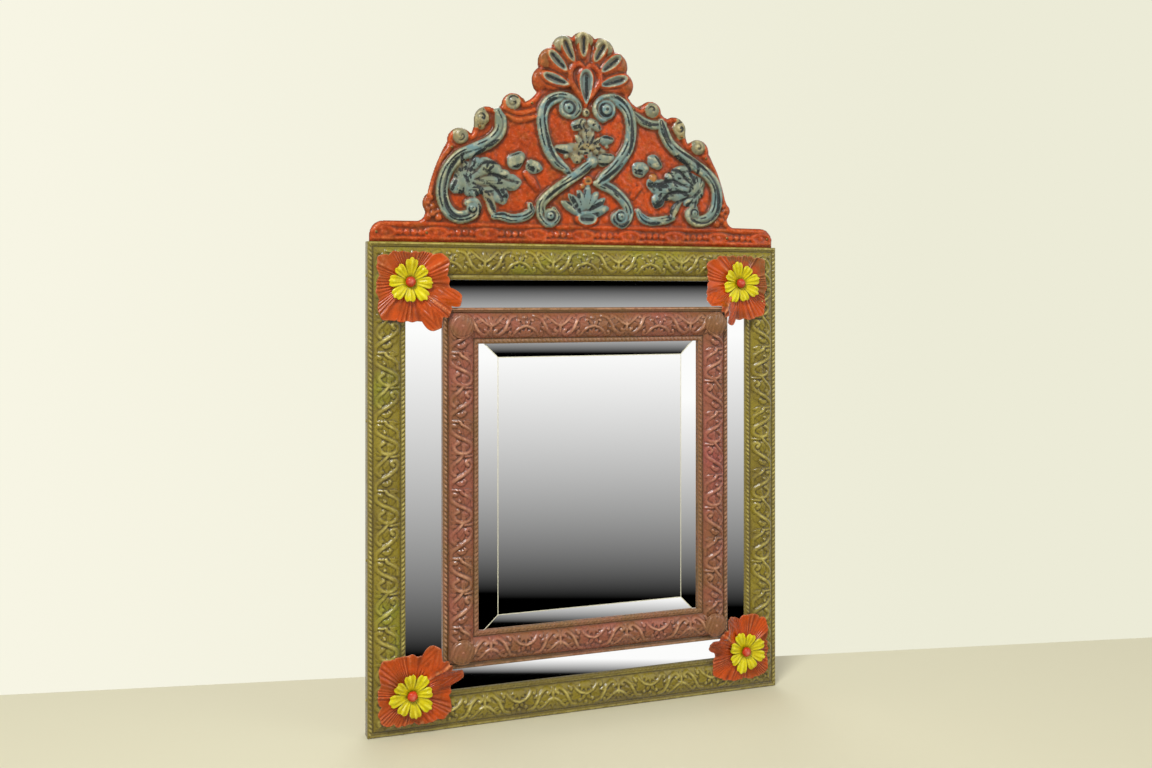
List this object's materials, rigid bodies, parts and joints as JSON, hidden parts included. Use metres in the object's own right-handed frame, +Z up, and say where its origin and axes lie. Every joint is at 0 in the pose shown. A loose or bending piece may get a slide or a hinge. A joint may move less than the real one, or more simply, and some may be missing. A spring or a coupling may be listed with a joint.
{
  "type": "framed wall mirror",
  "caption": "Wall mirror with an embossed painted metal frame, sloping mirror strips, a bevelled centre glass, flowers at the corners, a shell crest and a hanging ring.",
  "frame": {"origin": "middle of the rectangular frame on the wall face of the back board", "axes": "+X to the viewer's right, +Y into the wall, +Z up; the mirror looks along -Y"},
  "size_m": [0.406, 0.0467, 0.6358],
  "materials": {
    "pine": "bare, aged",
    "olive_paint": "worn olive paint on pressed sheet, brassy high spots",
    "rose_brown_paint": "worn rose-brown paint on pressed sheet",
    "crest_paint": "brick red ground, blue-grey scrolls",
    "spray_paint": "semi-gloss brick red",
    "yellow_paint": "semi-gloss yellow",
    "tack_paint": "gloss red",
    "silvered_glass": "silvered glass",
    "brass": "dull",
    "steel": "dull steel"
  },
  "bodies": {
    "frame": {"back_board": "pine", "centre_mirror": "silvered_glass", "corner_rosette_bottom_left": "rose_brown_paint", "corner_rosette_bottom_right": "rose_brown_paint", "corner_rosette_top_left": "rose_brown_paint", "corner_rosette_top_right": "rose_brown_paint", "corner_spray_bottom_left": "spray_paint", "corner_spray_bottom_right": "spray_paint", "corner_spray_top_left": "spray_paint", "corner_spray_top_right": "spray_paint", "crest_board": "pine", "crest_sheet": "crest_paint", "flower_bottom_left": "yellow_paint", "flower_bottom_right": "yellow_paint", "flower_tack_bottom_left": "tack_paint", "flower_tack_bottom_right": "tack_paint", "flower_tack_top_left": "tack_paint", "flower_tack_top_right": "tack_paint", "flower_top_left": "yellow_paint", "flower_top_right": "yellow_paint", "glass_back_panel": "pine", "glass_fillet_bottom": "pine", "glass_fillet_left": "pine", "glass_fillet_right": "pine", "glass_fillet_top": "pine", "hanger_plate": "steel", "hanger_screw_lower": "steel", "hanger_screw_upper": "steel", "inner_moulding_bottom": "rose_brown_paint", "inner_moulding_left": "rose_brown_paint", "inner_moulding_right": "rose_brown_paint", "inner_moulding_top": "rose_brown_paint", "inner_rail_bottom": "pine", "inner_rail_left": "pine", "inner_rail_right": "pine", "inner_rail_top": "pine", "outer_moulding_bottom": "olive_paint", "outer_moulding_left": "olive_paint", "outer_moulding_right": "olive_paint", "outer_moulding_top": "olive_paint", "outer_rail_bottom": "pine", "outer_rail_left": "pine", "outer_rail_right": "pine", "outer_rail_top": "pine", "rosette_pin_bottom_left": "brass", "rosette_pin_bottom_right": "brass", "rosette_pin_top_left": "brass", "rosette_pin_top_right": "brass", "strip_bed_bottom": "pine", "strip_bed_left": "pine", "strip_bed_right": "pine", "strip_bed_top": "pine", "strip_mirror_bottom": "silvered_glass", "strip_mirror_left": "silvered_glass", "strip_mirror_right": "silvered_glass", "strip_mirror_top": "silvered_glass"},
    "hanging_ring": {"hanger_ring": "steel"}
  },
  "joints": [
    {"name": "ring_swing", "type": "hinge", "parent": "frame", "child": "hanging_ring", "pos_m": [0, -0.0028, 0.3], "axis": [1, 0, 0], "range_deg": [0, 180]}
  ]
}
